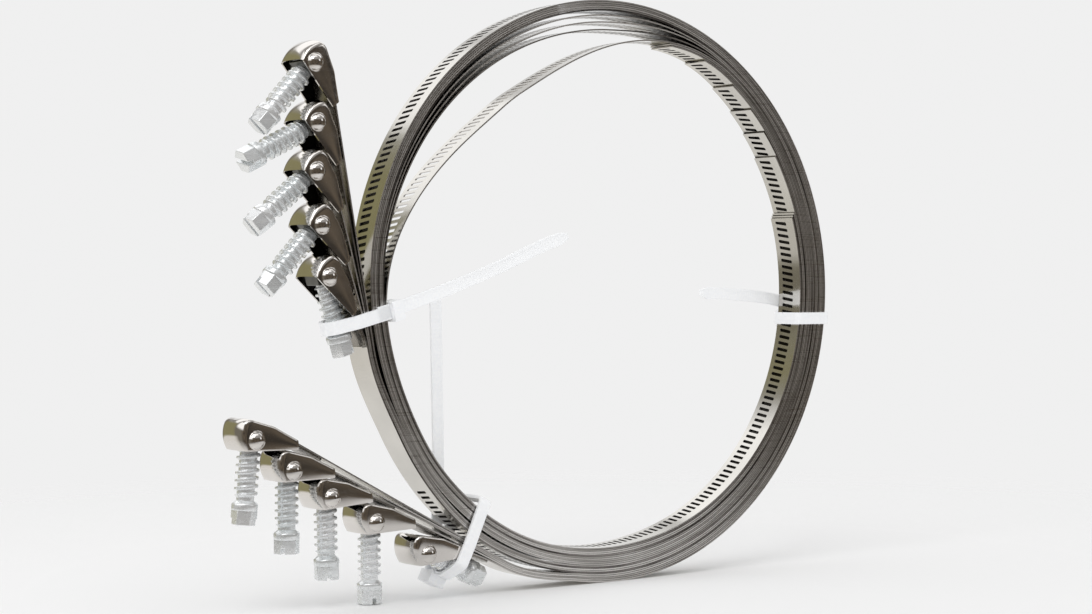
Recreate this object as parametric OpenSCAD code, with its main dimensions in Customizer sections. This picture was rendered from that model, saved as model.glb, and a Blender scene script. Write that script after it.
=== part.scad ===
// A bundle of ten quick release duct clamps, coiled together and held by three cable ties.
// The coil stands on edge: its axis is Y, +Z is up, and the origin is the middle of the flat
// that the coil stands on, straight below its axis.
// Five clamps leave the coil at the left (the upper group) and five at the lower left (the lower
// group). In each group clamp 1 is the innermost and clamp 5 the outermost.

/* [Bands] */
// Width of a band
band_w = 12.7; // [12.3:0.1:13]
// Thickness of a band
band_t = 0.54; // [0.46:0.01:0.56]
// Outer radius of the coil
coil_r = 111.6; // [111:0.1:113]
// Spacing of the layers on the right of the coil
pitch_wide = 0.72; // [0.71:0.01:0.76]
// Spacing of the layers where the ties pull them together
pitch_tight = 0.6; // [0.59:0.01:0.63]
// How far the innermost band springs in at the upper left
spring_in = 18.4; // [12:0.1:19]
// Length of a slot across the band
slot_len = 6.2; // [5:0.1:7]
// Width of a slot along the band
slot_w = 1.3; // [1:0.05:1.5]
// Spacing of the slots, the pitch of the screw's thread
slot_pitch = 2.65; // [2.5:0.05:2.8]
// Slots cut at the free end of each band, where the screw takes hold
slot_count = 16; // [0:1:20]

/* [Housings] */
// Width of a housing over its cheeks
hood_w = 15.5; // [15.3:0.1:16]
// Thickness of the housing's sheet
hood_t = 0.8; // [0.6:0.1:0.9]
// Height of the domes that take the pivot pins
dome_h = 2.2; // [1.8:0.1:2.4]
// Thickness of the saddle under the screw
saddle_t = 0.5; // [0.3:0.05:0.5]

/* [Screws] */
// Size of the hexagon across its flats
hex_af = 7.94; // [7:0.01:8]
// Diameter over the thread
thread_d = 8.3; // [7.8:0.1:8.3]
// Diameter of the collar behind the hexagon
collar_d = 9.2; // [8.6:0.1:9.4]
// Running clearance of the pins and journals, on the radius
clearance = 0.05; // [0.03:0.01:0.08]

/* [Ties] */
// Width of a cable tie
tie_w = 4.8; // [3.6:0.1:5]
// Thickness of a cable tie
tie_t = 1.2; // [1:0.05:1.3]

/* [Hidden] */
$fn = 48;

// ---- The coil ----
// Angles are measured round the coil's axis from +X, rising from right over the top to the left.
// A band's travel starts where it leaves its housing and runs on past a full turn.

// Step of the coil's flats, and the first corner after 0 degrees
flat_step = 3;
flat_start = 1.5;
// Height of the coil's axis: the lowest flat lies on the floor
axis_z = coil_r * cos(flat_step / 2);
// Where each group's bands leave the coil, and how far outside the coil they lie there
upper_exit = 190.3;
lower_exit = 242.5;
upper_rise = 2.4;
lower_rise = 3.6;
// Where those rises have died away
upper_landed = 208;
lower_landed = 262;
// Layers in one group
group = 5;

// Eased step from 0 at a to 1 at b
function ease(a, b, x) = let (t = min(1, max(0, (x - a) / (b - a)))) t * t * (3 - 2 * t);
// Spacing of the layers round the coil
function pitch(t) = pitch_wide - (pitch_wide - pitch_tight) * ease(150, 200, t) * (1 - ease(245, 285, t));
// Layers that lie outside a group, because other bands cross over it on the way
function crossed(g, phi) = group * (ease(526, 570, phi) + ease(588, 624, phi)
    + (g == 0 ? ease(228, 264, phi) : 0));
// Rise of a group where it comes in from its housings
function rise(g, phi) = g == 0 ? upper_rise * (1 - ease(upper_exit, upper_landed, phi))
    : lower_rise * (1 - ease(lower_exit, lower_landed, phi));
// Spring of the upper group's first turn at the upper left, for depth j in the group
function spring(j, t) =
    j == 4 ? spring_in * ease(56, 120, t) * (1 - ease(128, 187, t)) :
    j == 3 ? 5.3 * ease(58, 92, t) * (1 - ease(95, 180, t)) :
    j == 2 ? 3.1 * ease(62, 92, t) * (1 - ease(105, 176, t)) :
    j == 1 ? 1.2 * ease(62, 92, t) * (1 - ease(110, 170, t)) : 0;
// Gap that the crossing bands leave at the lower left, inside the outer group
function slack(phi) = 0.8 * ease(575, 592, phi) * (1 - ease(594, 625, phi));
// Radius of the outer face of the band at depth j of group g
function band_r(g, j, phi) = coil_r + rise(g, phi) - (j + crossed(g, phi)) * pitch(phi % 360)
    - (g == 0 && phi < 560 ? spring(j, phi - 360) : 0)
    - (phi > 720 ? spring(4, phi - 720) : 0) - slack(phi);

// ---- The clamps ----
// One row for each clamp: group (0 upper, 1 lower), depth in the group, distance of its housing
// from the coil, its lift off the group's line, its tilt, its screw's opening angle, the angle
// at which its band ends, and how far its screw is turned in its block
clamps = [
    [0, 4, 86.3, 0.0, 0.0, 52.5, 377.8, 0],
    [0, 3, 65.9, 1.7, 1.5, 75.4, 378.3, 75],
    [0, 2, 49.8, 3.2, 6.0, 67.0, 378.8, 8],
    [0, 1, 31.3, 3.2, 8.5, 62.0, 393.1, -4],
    [0, 0, 13.1, 2.8, 9.0, 2.0, 399.7, 60],
    [1, 4, 99.9, -1.2, -0.8, 66.7, 406.2, 30],
    [1, 3, 82.0, 0.7, 1.5, 64.2, 413.6, -40],
    [1, 2, 63.9, 1.27, 4.5, 65.5, 423.3, -72],
    [1, 1, 42.8, 1.6, 2.5, 64.5, 433.4, -84],
    [1, 0, 17.6, 1.2, 5.5, 2.5, 433.8, 10]];
function group_of(c) = clamps[c][0];
function depth_of(c) = clamps[c][1];
function reach_of(c) = clamps[c][2];
function lift_of(c) = clamps[c][3];
function tilt_of(c) = clamps[c][4];
function open_of(c) = clamps[c][5];
function end_of(c) = clamps[c][6] + 360;
function spin_of(c) = clamps[c][7];
function exit_of(c) = group_of(c) == 0 ? upper_exit : lower_exit;

// Away from the coil along the group's line, and outward from it, as [x, z]
function along(c) = [sin(exit_of(c)), -cos(exit_of(c))];
function outward(c) = [cos(exit_of(c)), sin(exit_of(c))];
// Point on the group's line where the band meets the coil
function landing(c) = [0, axis_z] + band_r(group_of(c), depth_of(c), exit_of(c)) * outward(c);
// Lift of the band off that line at distance s, and its slope
function lead_lift(c, s) = let (t = s / reach_of(c), m = tan(tilt_of(c)) * reach_of(c))
    lift_of(c) * t * t * (3 - 2 * t) + m * t * t * (t - 1);
function lead_slope(c, s) = let (t = s / reach_of(c), m = tan(tilt_of(c)) * reach_of(c))
    (lift_of(c) * 6 * t * (1 - t) + m * t * (3 * t - 2)) / reach_of(c);
function lead_point(c, s) = landing(c) + s * along(c) + lead_lift(c, s) * outward(c);
function lead_normal(c, s) = let (k = lead_slope(c, s)) (outward(c) - k * along(c)) / sqrt(1 + k * k);

// Housing's frame: x runs away from the coil along the band, z is outward, and the origin is on
// the band's outer face at the housing's narrow end
function seat(c) = lead_point(c, reach_of(c));
function seat_angle(c) = exit_of(c) - 90 + tilt_of(c);
module at_seat(c) {
    translate([seat(c)[0], 0, seat(c)[1]]) rotate([0, -seat_angle(c), 0]) children();
}

// How far the band reaches into the housing
band_in = 12.4;
// Steps of the lead between the coil and the housing
lead_steps = 8;
function seat_dir(c) = [cos(seat_angle(c)), sin(seat_angle(c))];
function seat_normal(c) = [-sin(seat_angle(c)), cos(seat_angle(c))];
function corners(c) = [
    exit_of(c),
    for (k = [ceil((exit_of(c) + 1 - flat_start) / flat_step) :
            floor((end_of(c) - 1 - flat_start) / flat_step)])
        flat_start + flat_step * k,
    end_of(c)];
function on_coil(c, phi, deeper) = [0, axis_z]
    + (band_r(group_of(c), depth_of(c), phi) - deeper) * [cos(phi), sin(phi)];
// Side view of a band, one face of it
function band_face(c, deeper) = [
    seat(c) + band_in * seat_dir(c) - deeper * seat_normal(c),
    for (k = [lead_steps : -1 : 1]) let (s = reach_of(c) * k / lead_steps)
        lead_point(c, s) - deeper * lead_normal(c, s),
    for (phi = corners(c)) on_coil(c, phi, deeper)];
function reversed(list) = [for (k = [len(list) - 1 : -1 : 0]) list[k]];

// Slots: the first lies this far from the band's free end
slot_first = 2.2;
slot_slant = 8;
slot_shift = 1;
module slot(c, phi) {
    p = on_coil(c, phi, band_t / 2);
    translate([p[0], 0, p[1]]) rotate([0, -phi, 0]) translate([0, slot_shift, 0]) rotate([slot_slant, 0, 0])
        cube([4 * band_t, slot_len, slot_w], center = true);
}
module band(c) {
    side = concat(band_face(c, 0), reversed(band_face(c, band_t)));
    step = slot_pitch / coil_r * 180 / PI;
    first = slot_first / coil_r * 180 / PI;
    color("silver") difference() {
        rotate([90, 0, 0]) linear_extrude(height = band_w, center = true) polygon(side);
        for (k = [0 : 1 : slot_count - 1]) slot(c, end_of(c) - first - k * step);
    }
}

// ---- Housing, saddle, swivel and screw, in the housing's frame ----

// Pivot of the swivel
pivot = [16.5, 6];
// The mouth is the slanting open side: its low end and its slope
mouth = [0.2, 1.7];
mouth_slope = 27.6;
// Corners of the housing's side: foot, heel and back of the floor, and the foot of the crown
floor_z = -band_t - 0.76;
foot_x = 1;
heel_x = 12.5;
back = [21.8, 0.9];
crown_foot = [25.8, 2.1];
// Straight length of the cheeks along the mouth and depth of the rounded crown past it
cheek_len = 18.8;
crown_len = 4.1;
crown_steps = 12;
// How much sooner the crown's rounding starts on its inside
crown_extra = 0.4;
// Extra thickness of the crown's foot
crown_rim = 0.1;
// Reach of the cutting outlines before the mouth, below it and over their height
plan_front = 6;
plan_down = 20;
plan_height = 30;
// Domes, and the pins whose ends they cover
dome_d = 6.4;
pin_d = 4.9;
pin_end = hood_w / 2 + 0.6;
pin_end_gap = 0.15;

// Pushes 2D children out across the housing, [x, z] becoming x and z
module across(w) {
    rotate([90, 0, 0]) linear_extrude(height = w, center = true) children();
}
// Outline of the housing seen into its mouth, shrunk by inset
function plan(inset) = let (
    w = hood_w / 2 - inset,
    straight = cheek_len - (inset > 0 ? crown_extra : 0),
    far = cheek_len + crown_len - inset - straight)
    concat([[-plan_front, -w], [straight, -w]],
        [for (k = [1 : crown_steps - 1]) let (a = -90 + 180 * k / crown_steps)
            [straight + far * cos(a), w * sin(a)]],
        [[straight, w], [-plan_front, w]]);
module plan_prism(inset) {
    translate([mouth[0], 0, mouth[1]]) rotate([0, -mouth_slope, 0])
        translate([0, 0, -plan_down]) linear_extrude(height = plan_height) polygon(plan(inset));
}
module hood_solid() {
    intersection() {
        across(hood_w) polygon([[foot_x, floor_z], [heel_x, floor_z], back, crown_foot,
            mouth + (cheek_len + crown_len) * [cos(mouth_slope), sin(mouth_slope)], mouth]);
        plan_prism(0);
    }
}
module hood_hollow() {
    intersection() {
        across(hood_w - 2 * hood_t) polygon([[-plan_front, -band_t], [heel_x, -band_t],
            back + [-hood_t / 4, hood_t], crown_foot + [0, hood_t + crown_rim],
            [crown_foot[0], plan_height], [-plan_front, plan_height]]);
        plan_prism(hood_t);
    }
}
// Cap of the dome round the end of a pivot pin
module dome(side) {
    cap_r = (dome_d * dome_d / 4 + dome_h * dome_h) / (2 * dome_h);
    translate([pivot[0], side * (hood_w / 2 + dome_h - cap_r), pivot[1]]) intersection() {
        sphere(r = cap_r);
        rotate([-90 * side, 0, 0]) cylinder(d = 2 * cap_r, h = cap_r);
    }
}
module hood(c) {
    color("gainsboro") at_seat(c) difference() {
        union() {
            hood_solid();
            dome(1);
            dome(-1);
        }
        hood_hollow();
        translate([pivot[0], 0, pivot[1]]) rotate([90, 0, 0])
            cylinder(d = pin_d + 2 * clearance, h = 2 * (pin_end + pin_end_gap), center = true);
    }
}

// Saddle: a thin plate on the band under the screw, with a round tongue towards the coil
saddle_w = 11.4;
saddle_front = -12;
saddle_back = 9;
saddle_reach = 10;
tongue_r = 3;
tongue_steps = 4;
// Side view of a saddle, one face of it, raised off the band
function saddle_face(c, raised) = [
    seat(c) + saddle_back * seat_dir(c) + raised * seat_normal(c),
    for (k = [lead_steps : -1 : 0]) let (s = reach_of(c) * k / lead_steps)
        if (s > reach_of(c) + saddle_front - reach_of(c) / lead_steps)
            lead_point(c, s) + raised * lead_normal(c, s)];
module saddle(c) {
    w = saddle_w / 2;
    color("dimgray") intersection() {
        across(saddle_w) polygon(concat(saddle_face(c, 0), reversed(saddle_face(c, saddle_t))));
        at_seat(c) translate([0, 0, -saddle_reach]) linear_extrude(height = 2 * saddle_reach) polygon(concat(
            [[saddle_reach, -w], [saddle_reach, w]],
            [for (k = [0 : tongue_steps]) let (a = 90 + 90 * k / tongue_steps)
                [saddle_front, w] + tongue_r * [1 + cos(a), sin(a) - 1]],
            [for (k = [0 : tongue_steps]) let (a = 180 + 90 * k / tongue_steps)
                [saddle_front, -w] + tongue_r * [1 + cos(a), sin(a) + 1]]));
    }
}

// Swivel and screw share a frame with z along the screw, x away from the band and the origin on
// the pivot; the screw runs axis_drop nearer the band than the pivot
axis_drop = 1.5;
module at_swivel(c) {
    at_seat(c) translate([pivot[0], 0, pivot[1]]) rotate([0, open_of(c) - 90, 0]) children();
}
block_len = 5;
block_w = 8.8;
block_top = 3.2;
block_bottom = -4.1;
journal_d = 3.4;
module swivel(c) {
    color("darkgray") at_swivel(c) difference() {
        union() {
            rotate([90, 0, 0]) cylinder(d = pin_d, h = 2 * pin_end, center = true);
            translate([block_bottom, -block_w / 2, -block_len / 2])
                cube([block_top - block_bottom, block_w, block_len]);
        }
        translate([-axis_drop, 0, -block_len])
            cylinder(d = journal_d + 2 * clearance, h = 2 * block_len);
    }
}

// The screw along its own length: shoulder, first turn of thread, collar and hexagon
shoulder_z = block_len / 2 + clearance;
thread_z = 3.9;
collar_z = 21.2;
collar_bevel = 0.8;
hex_z = 24.5;
hex_len = 5;
hex_root = 0.5;
core_d = 6.2;
thread_turns = 6;
// Half profile of one turn of thread, along the screw: where it rises, is full, falls and ends
thread_rise = 0.85;
thread_flat = 1.35;
thread_foot = 2.2;
driver_slot_w = 1.5;
driver_slot_d = 2.2;
// Riveted end that holds the screw in its block
rivet_r = 2.3;
rivet_t = 0.8;
// Half profile of the screw round its axis, [radius, z], from its riveted end to its collar
function thread_profile() = [for (k = [0 : thread_turns - 1]) let (z = thread_z + k * slot_pitch)
    each [[core_d / 2, z], [thread_d / 2, z + thread_rise], [thread_d / 2, z + thread_flat],
        [core_d / 2, z + thread_foot]]];
module screw(c) {
    rivet_z = -block_len / 2 - clearance;
    color("lightgray") at_swivel(c) translate([-axis_drop, 0, 0]) rotate(spin_of(c)) difference() {
        union() {
            rotate_extrude() polygon(concat(
                [[0, rivet_z - rivet_t], [rivet_r, rivet_z - rivet_t], [rivet_r, rivet_z],
                    [journal_d / 2, rivet_z], [journal_d / 2, shoulder_z], [core_d / 2, shoulder_z]],
                thread_profile(),
                [[core_d / 2, collar_z], [collar_d / 2, collar_z + collar_bevel], [collar_d / 2, hex_z],
                    [0, hex_z]]));
            translate([0, 0, hex_z - hex_root]) cylinder(d = hex_af / cos(30), h = hex_len + hex_root, $fn = 6);
        }
        translate([-hex_af, -driver_slot_w / 2, hex_z + hex_len - driver_slot_d])
            cube([2 * hex_af, driver_slot_w, 2 * driver_slot_d]);
    }
}

// ---- Cable ties ----

// Radius inside a tie's bends, and the steps of a bend
tie_bend = 0.8;
bend_steps = 4;
tail_t = 1;
// Length and narrowing of a tail's tip
tip_len = 4;
// Box that locks a tie: its length, its width and its height
lock = [4.4, 7.4, 7.2];
// Corner of each lock's box, [outward, across], seen from its tie's place
left_lock = [-15.9, -9.6];
right_lock = [-3.7, 7];
lower_lock = [11.5, 2];
// Each tie's place, [x, z], on the bundle and the angle it points outward at
left_at = landing(4) + 10.7 * along(4);
left_dir = 194.5;
lower_at = landing(9) + 19.2 * along(9);
lower_dir = lower_exit;
right_at = [104, 100.2];
right_dir = 0;
// Half outlines of the straps, [outward, across], before the bends widen them by tie_bend
left_half = [[-10.6, 5.75], [2.1, 5.75], [9.9, 3], [11.2, 1.2]];
lower_half = [[-17.6, 5.8], [-0.9, 7.2], [6, 7.2], [9.3, 3], [10.6, 1.2]];
right_half = [[-7.1, 5.75], [6.8, 5.75]];
// Centre lines of the tails, [x, z]
left_tail = [[-108, 103.9], [-100.9, 105.8], [-80.8, 111.9], [-57.5, 120], [-37.5, 128], [-27.5, 131.4]];
right_tail = [[107, 101.2], [102.5, 104.9], [97.8, 107.3], [85, 109.2], [72, 110.1], [58.8, 110.7]];
lower_tail = [[-75.3, 9], [-73, 22], [-72, 46], [-72.5, 78], [-73.2, 108]];

// Y of each tail's middle
left_side = -7.15;
right_side = 7.15;
lower_side = 8.5;

// A closed outline from one half of it, mirrored across the bundle
function both_halves(half) = concat(half, [for (p = reversed(half)) [p[0], -p[1]]]);
function heading(a, b) = atan2(b[1] - a[1], b[0] - a[0]);
// The outline widened by r, with round corners
function widened(path, r) = let (n = len(path)) [
    for (i = [0 : n - 1]) let (
        a = heading(path[(i + n - 1) % n], path[i]) + 90,
        turn = (heading(path[i], path[(i + 1) % n]) + 90 - a + 540) % 360 - 180)
        for (k = [0 : bend_steps]) let (b = a + turn * k / bend_steps) path[i] + r * [cos(b), sin(b)]];
module at_tie(place, dir) {
    translate([place[0], 0, place[1]]) rotate([0, -dir, 0]) children();
}
module strap(half) {
    path = both_halves(half);
    translate([0, 0, -tie_w / 2]) linear_extrude(height = tie_w) difference() {
        polygon(widened(path, tie_bend + tie_t));
        polygon(widened(path, tie_bend));
    }
}
// Unit vector across a centre line at its point i
function across_line(line, i) = let (
    a = heading(line[max(0, i - 1)], line[min(len(line) - 1, i + 1)]) + 90) [cos(a), sin(a)];
// Flat tail in the plane y = side, with a narrowed tip
module tail(line, side) {
    last = len(line) - 1;
    tip = line[last] - line[last - 1];
    end = line[last] + tip_len * tip / norm(tip);
    edge = [for (i = [0 : last]) line[i] + tie_w / 2 * across_line(line, i)];
    other = [for (i = [last : -1 : 0]) line[i] - tie_w / 2 * across_line(line, i)];
    translate([0, side + tail_t / 2, 0]) rotate([90, 0, 0]) linear_extrude(height = tail_t)
        polygon(concat(edge, [for (k = [1, -1]) end + k * tie_w / 4 * across_line(line, last)], other));
}
module tie_left() {
    color("whitesmoke") union() {
        at_tie(left_at, left_dir) {
            strap(left_half);
            translate([left_lock[0], left_lock[1], -lock[2] / 2]) cube(lock);
        }
        tail(left_tail, left_side);
    }
}
module tie_right() {
    color("whitesmoke") union() {
        at_tie(right_at, right_dir) {
            strap(right_half);
            translate([right_lock[0], right_lock[1], -lock[2] / 2]) cube([lock[1], lock[0], lock[2]]);
        }
        tail(right_tail, right_side);
    }
}
module tie_lower() {
    color("whitesmoke") union() {
        at_tie(lower_at, lower_dir) {
            strap(lower_half);
            translate([lower_lock[0], lower_lock[1], -lock[2] / 2]) cube(lock);
        }
        tail(lower_tail, lower_side);
    }
}

band(0);  // band_u1
band(1);  // band_u2
band(2);  // band_u3
band(3);  // band_u4
band(4);  // band_u5
band(5);  // band_l1
band(6);  // band_l2
band(7);  // band_l3
band(8);  // band_l4
band(9);  // band_l5
saddle(0);  // saddle_u1
saddle(1);  // saddle_u2
saddle(2);  // saddle_u3
saddle(3);  // saddle_u4
saddle(4);  // saddle_u5
saddle(5);  // saddle_l1
saddle(6);  // saddle_l2
saddle(7);  // saddle_l3
saddle(8);  // saddle_l4
saddle(9);  // saddle_l5
hood(0);  // hood_u1
hood(1);  // hood_u2
hood(2);  // hood_u3
hood(3);  // hood_u4
hood(4);  // hood_u5
hood(5);  // hood_l1
hood(6);  // hood_l2
hood(7);  // hood_l3
hood(8);  // hood_l4
hood(9);  // hood_l5
swivel(0);  // swivel_u1
swivel(1);  // swivel_u2
swivel(2);  // swivel_u3
swivel(3);  // swivel_u4
swivel(4);  // swivel_u5
swivel(5);  // swivel_l1
swivel(6);  // swivel_l2
swivel(7);  // swivel_l3
swivel(8);  // swivel_l4
swivel(9);  // swivel_l5
screw(0);  // screw_u1
screw(1);  // screw_u2
screw(2);  // screw_u3
screw(3);  // screw_u4
screw(4);  // screw_u5
screw(5);  // screw_l1
screw(6);  // screw_l2
screw(7);  // screw_l3
screw(8);  // screw_l4
screw(9);  // screw_l5
tie_left();
tie_right();
tie_lower();

// Least gap between two layers over the whole coil, from the radii at the flats' corners
function layer_gap(c, d, wraps) = min([for (phi = corners(c)) let (q = phi + 360 * wraps)
    if (q >= exit_of(d) && q <= end_of(d))
        abs(band_r(group_of(c), depth_of(c), phi) - band_r(group_of(d), depth_of(d), q)) - band_t]);
echo(own_gap = [for (c = [0 : 9]) layer_gap(c, c, 1)]);
echo(least_gap = min([for (c = [0 : 9]) for (d = [0 : 9]) for (w = [0, 1]) if (c != d || w == 1)
    layer_gap(c, d, w)]));
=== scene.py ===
# %% [markdown]
# # A bundle of quick release duct clamps
#
# Ten slotted steel bands are wound together into one coil that stands on its edge. Each band
# carries a housing with a screw that swings open on two pins. Three nylon cable ties hold the
# bundle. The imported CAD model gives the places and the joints; this lesson gives the looks.
# Lengths are in millimetres here, and a mesh is scaled to metres when it is made.

import bmesh
import bpy
import numpy as np
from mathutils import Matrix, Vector


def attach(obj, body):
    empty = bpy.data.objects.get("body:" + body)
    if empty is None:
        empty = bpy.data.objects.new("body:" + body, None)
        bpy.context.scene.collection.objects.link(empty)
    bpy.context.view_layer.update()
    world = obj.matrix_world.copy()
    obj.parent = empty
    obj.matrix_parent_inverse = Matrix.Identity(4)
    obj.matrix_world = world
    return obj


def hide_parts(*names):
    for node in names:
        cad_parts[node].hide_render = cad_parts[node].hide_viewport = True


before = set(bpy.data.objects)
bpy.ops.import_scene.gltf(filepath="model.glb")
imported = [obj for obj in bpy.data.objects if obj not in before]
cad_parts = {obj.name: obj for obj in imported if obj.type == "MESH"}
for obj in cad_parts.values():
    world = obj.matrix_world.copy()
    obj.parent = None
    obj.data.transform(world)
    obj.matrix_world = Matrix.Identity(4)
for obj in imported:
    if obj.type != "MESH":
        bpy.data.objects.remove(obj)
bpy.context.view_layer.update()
MM = 0.001
NAMES = ["u1", "u2", "u3", "u4", "u5", "l1", "l2", "l3", "l4", "l5"]

# %% [markdown]
# ## The camera and the studio
# The bundle is seen a little from the left with a long lens, almost level with the middle of
# the coil. The camera is a plain location and a direction to look along.

# %% Camera
CAMERA_AT = Vector((-532.8, -671.6, 116.3)) * MM
CAMERA_YAW = 36.91
CAMERA_PITCH = -0.72
LENS = 73.1


def place(name, data):
    """Puts a new object in the scene."""
    made = bpy.data.objects.new(name, data)
    bpy.context.scene.collection.objects.link(made)
    return made


def look(yaw, pitch):
    """Unit vector turned by yaw from +Y towards +X and raised by pitch, in degrees."""
    a, b = np.radians(yaw), np.radians(pitch)
    return Vector((np.sin(a) * np.cos(b), np.cos(a) * np.cos(b), np.sin(b)))


camera = place("camera", bpy.data.cameras.new("camera"))
bpy.context.scene.camera = camera
camera.location = CAMERA_AT
camera.rotation_euler = look(CAMERA_YAW, CAMERA_PITCH).to_track_quat("-Z", "Y").to_euler()
camera.data.lens = LENS
camera.data.sensor_width = 36
camera.data.clip_start = 0.01
bpy.context.scene.view_settings.view_transform = "Standard"

# %% [markdown]
# ## Node helpers
# Every material is a small graph. `add` makes a node with its settings and feeds its inputs,
# each with a value or with another node's output. The other helpers name the common cases.

# %% Helpers for graphs
def feed(tree, target, value):
    """Gives an input a value, or joins another node's output to it."""
    if isinstance(value, bpy.types.NodeSocket):
        tree.links.new(value, target)
    elif target.type == "RGBA":
        target.default_value = (*value, 1)
    else:
        target.default_value = value


def add(tree, kind, inputs=(), **settings):
    """A node of that kind with its settings, and its inputs by name or number."""
    node = tree.nodes.new(kind)
    for name, value in settings.items():
        setattr(node, name, value)
    for key, value in dict(inputs).items():
        feed(tree, node.inputs[key], value)
    return node


def ramp(tree, source, stops):
    """A colour ramp fed by source, with stops (place, colour)."""
    node = add(tree, "ShaderNodeValToRGB", {0: source})
    elements = node.color_ramp.elements
    while len(elements) < len(stops):
        elements.new(0.5)
    for element, (position, tone) in zip(elements, stops):
        element.position = position
        element.color = (*tone, 1)
    return node.outputs[0]


def map_range(tree, source, low, high, to_low, to_high):
    """Maps low to high onto to_low to to_high, clamped."""
    inputs = {0: source, 1: low, 2: high, 3: to_low, 4: to_high}
    return add(tree, "ShaderNodeMapRange", inputs).outputs[0]


def math(tree, operation, a, b=0):
    """A math node on sockets or numbers."""
    return add(tree, "ShaderNodeMath", {0: a, 1: b}, operation=operation).outputs[0]


def mixed(tree, factor, a, b):
    """Colour mix of a and b."""
    inputs = {"Factor": factor, 6: a, 7: b}
    return add(tree, "ShaderNodeMix", inputs, data_type="RGBA").outputs[2]


def noise(tree, vector, scale, detail):
    """A noise texture on a vector."""
    inputs = {"Vector": vector, "Scale": scale, "Detail": detail}
    return add(tree, "ShaderNodeTexNoise", inputs).outputs["Fac"]


def coordinate(tree, kind):
    """The coordinates that a texture reads: Object, UV or Generated."""
    return add(tree, "ShaderNodeTexCoord").outputs[kind]


def principled(name, **inputs):
    """A new material, its graph and its Principled shader, whose inputs are named with _ for a space."""
    material = bpy.data.materials.new(name)
    material.use_nodes = True
    shader = material.node_tree.nodes["Principled BSDF"]
    for key, value in inputs.items():
        feed(material.node_tree, shader.inputs[key.replace("_", " ")], value)
    return material, material.node_tree, shader


def bumped(tree, shader, height, depth):
    """Feeds the shader's normal from a height of that depth in millimetres."""
    bump = add(tree, "ShaderNodeBump", {"Strength": 1, "Distance": depth * MM, "Height": height})
    feed(tree, shader.inputs["Normal"], bump.outputs[0])


# %% [markdown]
# ## The world
# Polished steel shows little but its surroundings, so the world matters more than any lamp.
# The camera and matt surfaces see plain white. Reflections see a studio: a dim room with a grey
# side, the white wall behind the bundle, a hazy upper part with bright soft boxes at the back,
# at the left and high in front, and pale paper below. The dim room gives the steel its brown
# and olive darks.

# %% World
BACKGROUND = (0.87, 0.87, 0.87)
PAPER_LIGHT = (0.80, 0.78, 0.74)
PAPER_NEAR = (0.60, 0.58, 0.55)
CEILING = (1.25, 1.25, 1.25)
HAZE = (0.36, 0.35, 0.34)
WALL = (0.9, 0.9, 0.9)
ROOM_OLIVE = (0.28, 0.26, 0.14)
ROOM_GREY = (0.19, 0.175, 0.145)
ROOM_BROWN = (0.150, 0.120, 0.088)
ROOM_BLACK = (0.040, 0.034, 0.028)
CLUTTER_SCALE, CLUTTER_EDGES = 5, (0.4, 0.6)
# Where the ground counts as lying behind the bundle, as a share of +Y
BEHIND_FROM, BEHIND_TO = 0.55, 0.8
world = bpy.data.worlds.new("studio")
bpy.context.scene.world = world
world.use_nodes = True
sky = world.node_tree
sky.nodes.clear()
coords = coordinate(sky, "Generated")
split = add(sky, "ShaderNodeSeparateXYZ", {0: coords})


def sine(degrees):
    """Sine of an angle in degrees."""
    return float(np.sin(np.radians(degrees)))


def above(low, high):
    """0 below one elevation and 1 above another, in degrees."""
    return map_range(sky, split.outputs["Z"], sine(low), sine(high), 0, 1)


def below(low, high):
    """1 below one elevation and 0 above another, in degrees."""
    return map_range(sky, split.outputs["Z"], sine(low), sine(high), 1, 0)


def between(low, high, soft):
    """1 between two elevations, falling to 0 over the soft degrees outside them."""
    return math(sky, "SUBTRACT", above(low - soft, low), above(high, high + soft))


def near(vector, direction, inner, outer):
    """1 where a unit vector is within inner degrees of a direction, 0 beyond outer degrees."""
    dot = add(sky, "ShaderNodeVectorMath", {0: vector, 1: direction}, operation="DOT_PRODUCT")
    return map_range(sky, dot.outputs["Value"], sine(90 - outer), sine(90 - inner), 0, 1)


def towards(yaw, inner, outer):
    """1 near a bearing, at every height."""
    flat = add(sky, "ShaderNodeCombineXYZ", {0: split.outputs["X"], 1: split.outputs["Y"]})
    unit = add(sky, "ShaderNodeVectorMath", {0: flat.outputs[0]}, operation="NORMALIZE")
    return near(unit.outputs[0], look(yaw, 0), inner, outer)


def spot(yaw, pitch, inner, outer):
    """1 near a direction."""
    return near(coords, look(yaw, pitch), inner, outer)


def both(a, b):
    """Product of two masks."""
    return math(sky, "MULTIPLY", a, b)


clutter = noise(sky, coords, CLUTTER_SCALE, 2)
around = mixed(sky, map_range(sky, clutter, *CLUTTER_EDGES, 0, 1), ROOM_BLACK, ROOM_BROWN)
behind = map_range(sky, split.outputs["Y"], BEHIND_FROM, BEHIND_TO, 0, 1)
# What the steel mirrors, each layer over those before it: where it lies, and its colour.
# Bearings run clockwise from +Y. Bearings, elevations and widths are in degrees.
STUDIO = [
    (towards(323, 40, 75), ROOM_GREY),  # the room's grey side
    (towards(338, 14, 22), ROOM_OLIVE),  # an olive strip on it
    (towards(CAMERA_YAW, 24, 30), WALL),  # the wall behind the bundle
    (above(24, 34), HAZE),  # the upper part of the room
    (both(above(30, 32), towards(CAMERA_YAW, 58, 70)), CEILING),  # ceiling over the wall
    (both(between(18, 48, 7), towards(278, 28, 40)), CEILING),  # soft box at the left
    (both(between(60, 76, 5), towards(190, 50, 65)), CEILING),  # soft box high in front
    (spot(138, 20, 6, 12), CEILING),  # small lamp at the front right
    (below(-45, -33), PAPER_NEAR),  # paper at the bundle's foot
    (both(behind, below(-11.5, -7.5)), PAPER_LIGHT)]  # lit paper behind the bundle
for mask, colour in STUDIO:
    around = mixed(sky, mask, around, colour)
ray = add(sky, "ShaderNodeLightPath").outputs["Is Glossy Ray"]
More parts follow.
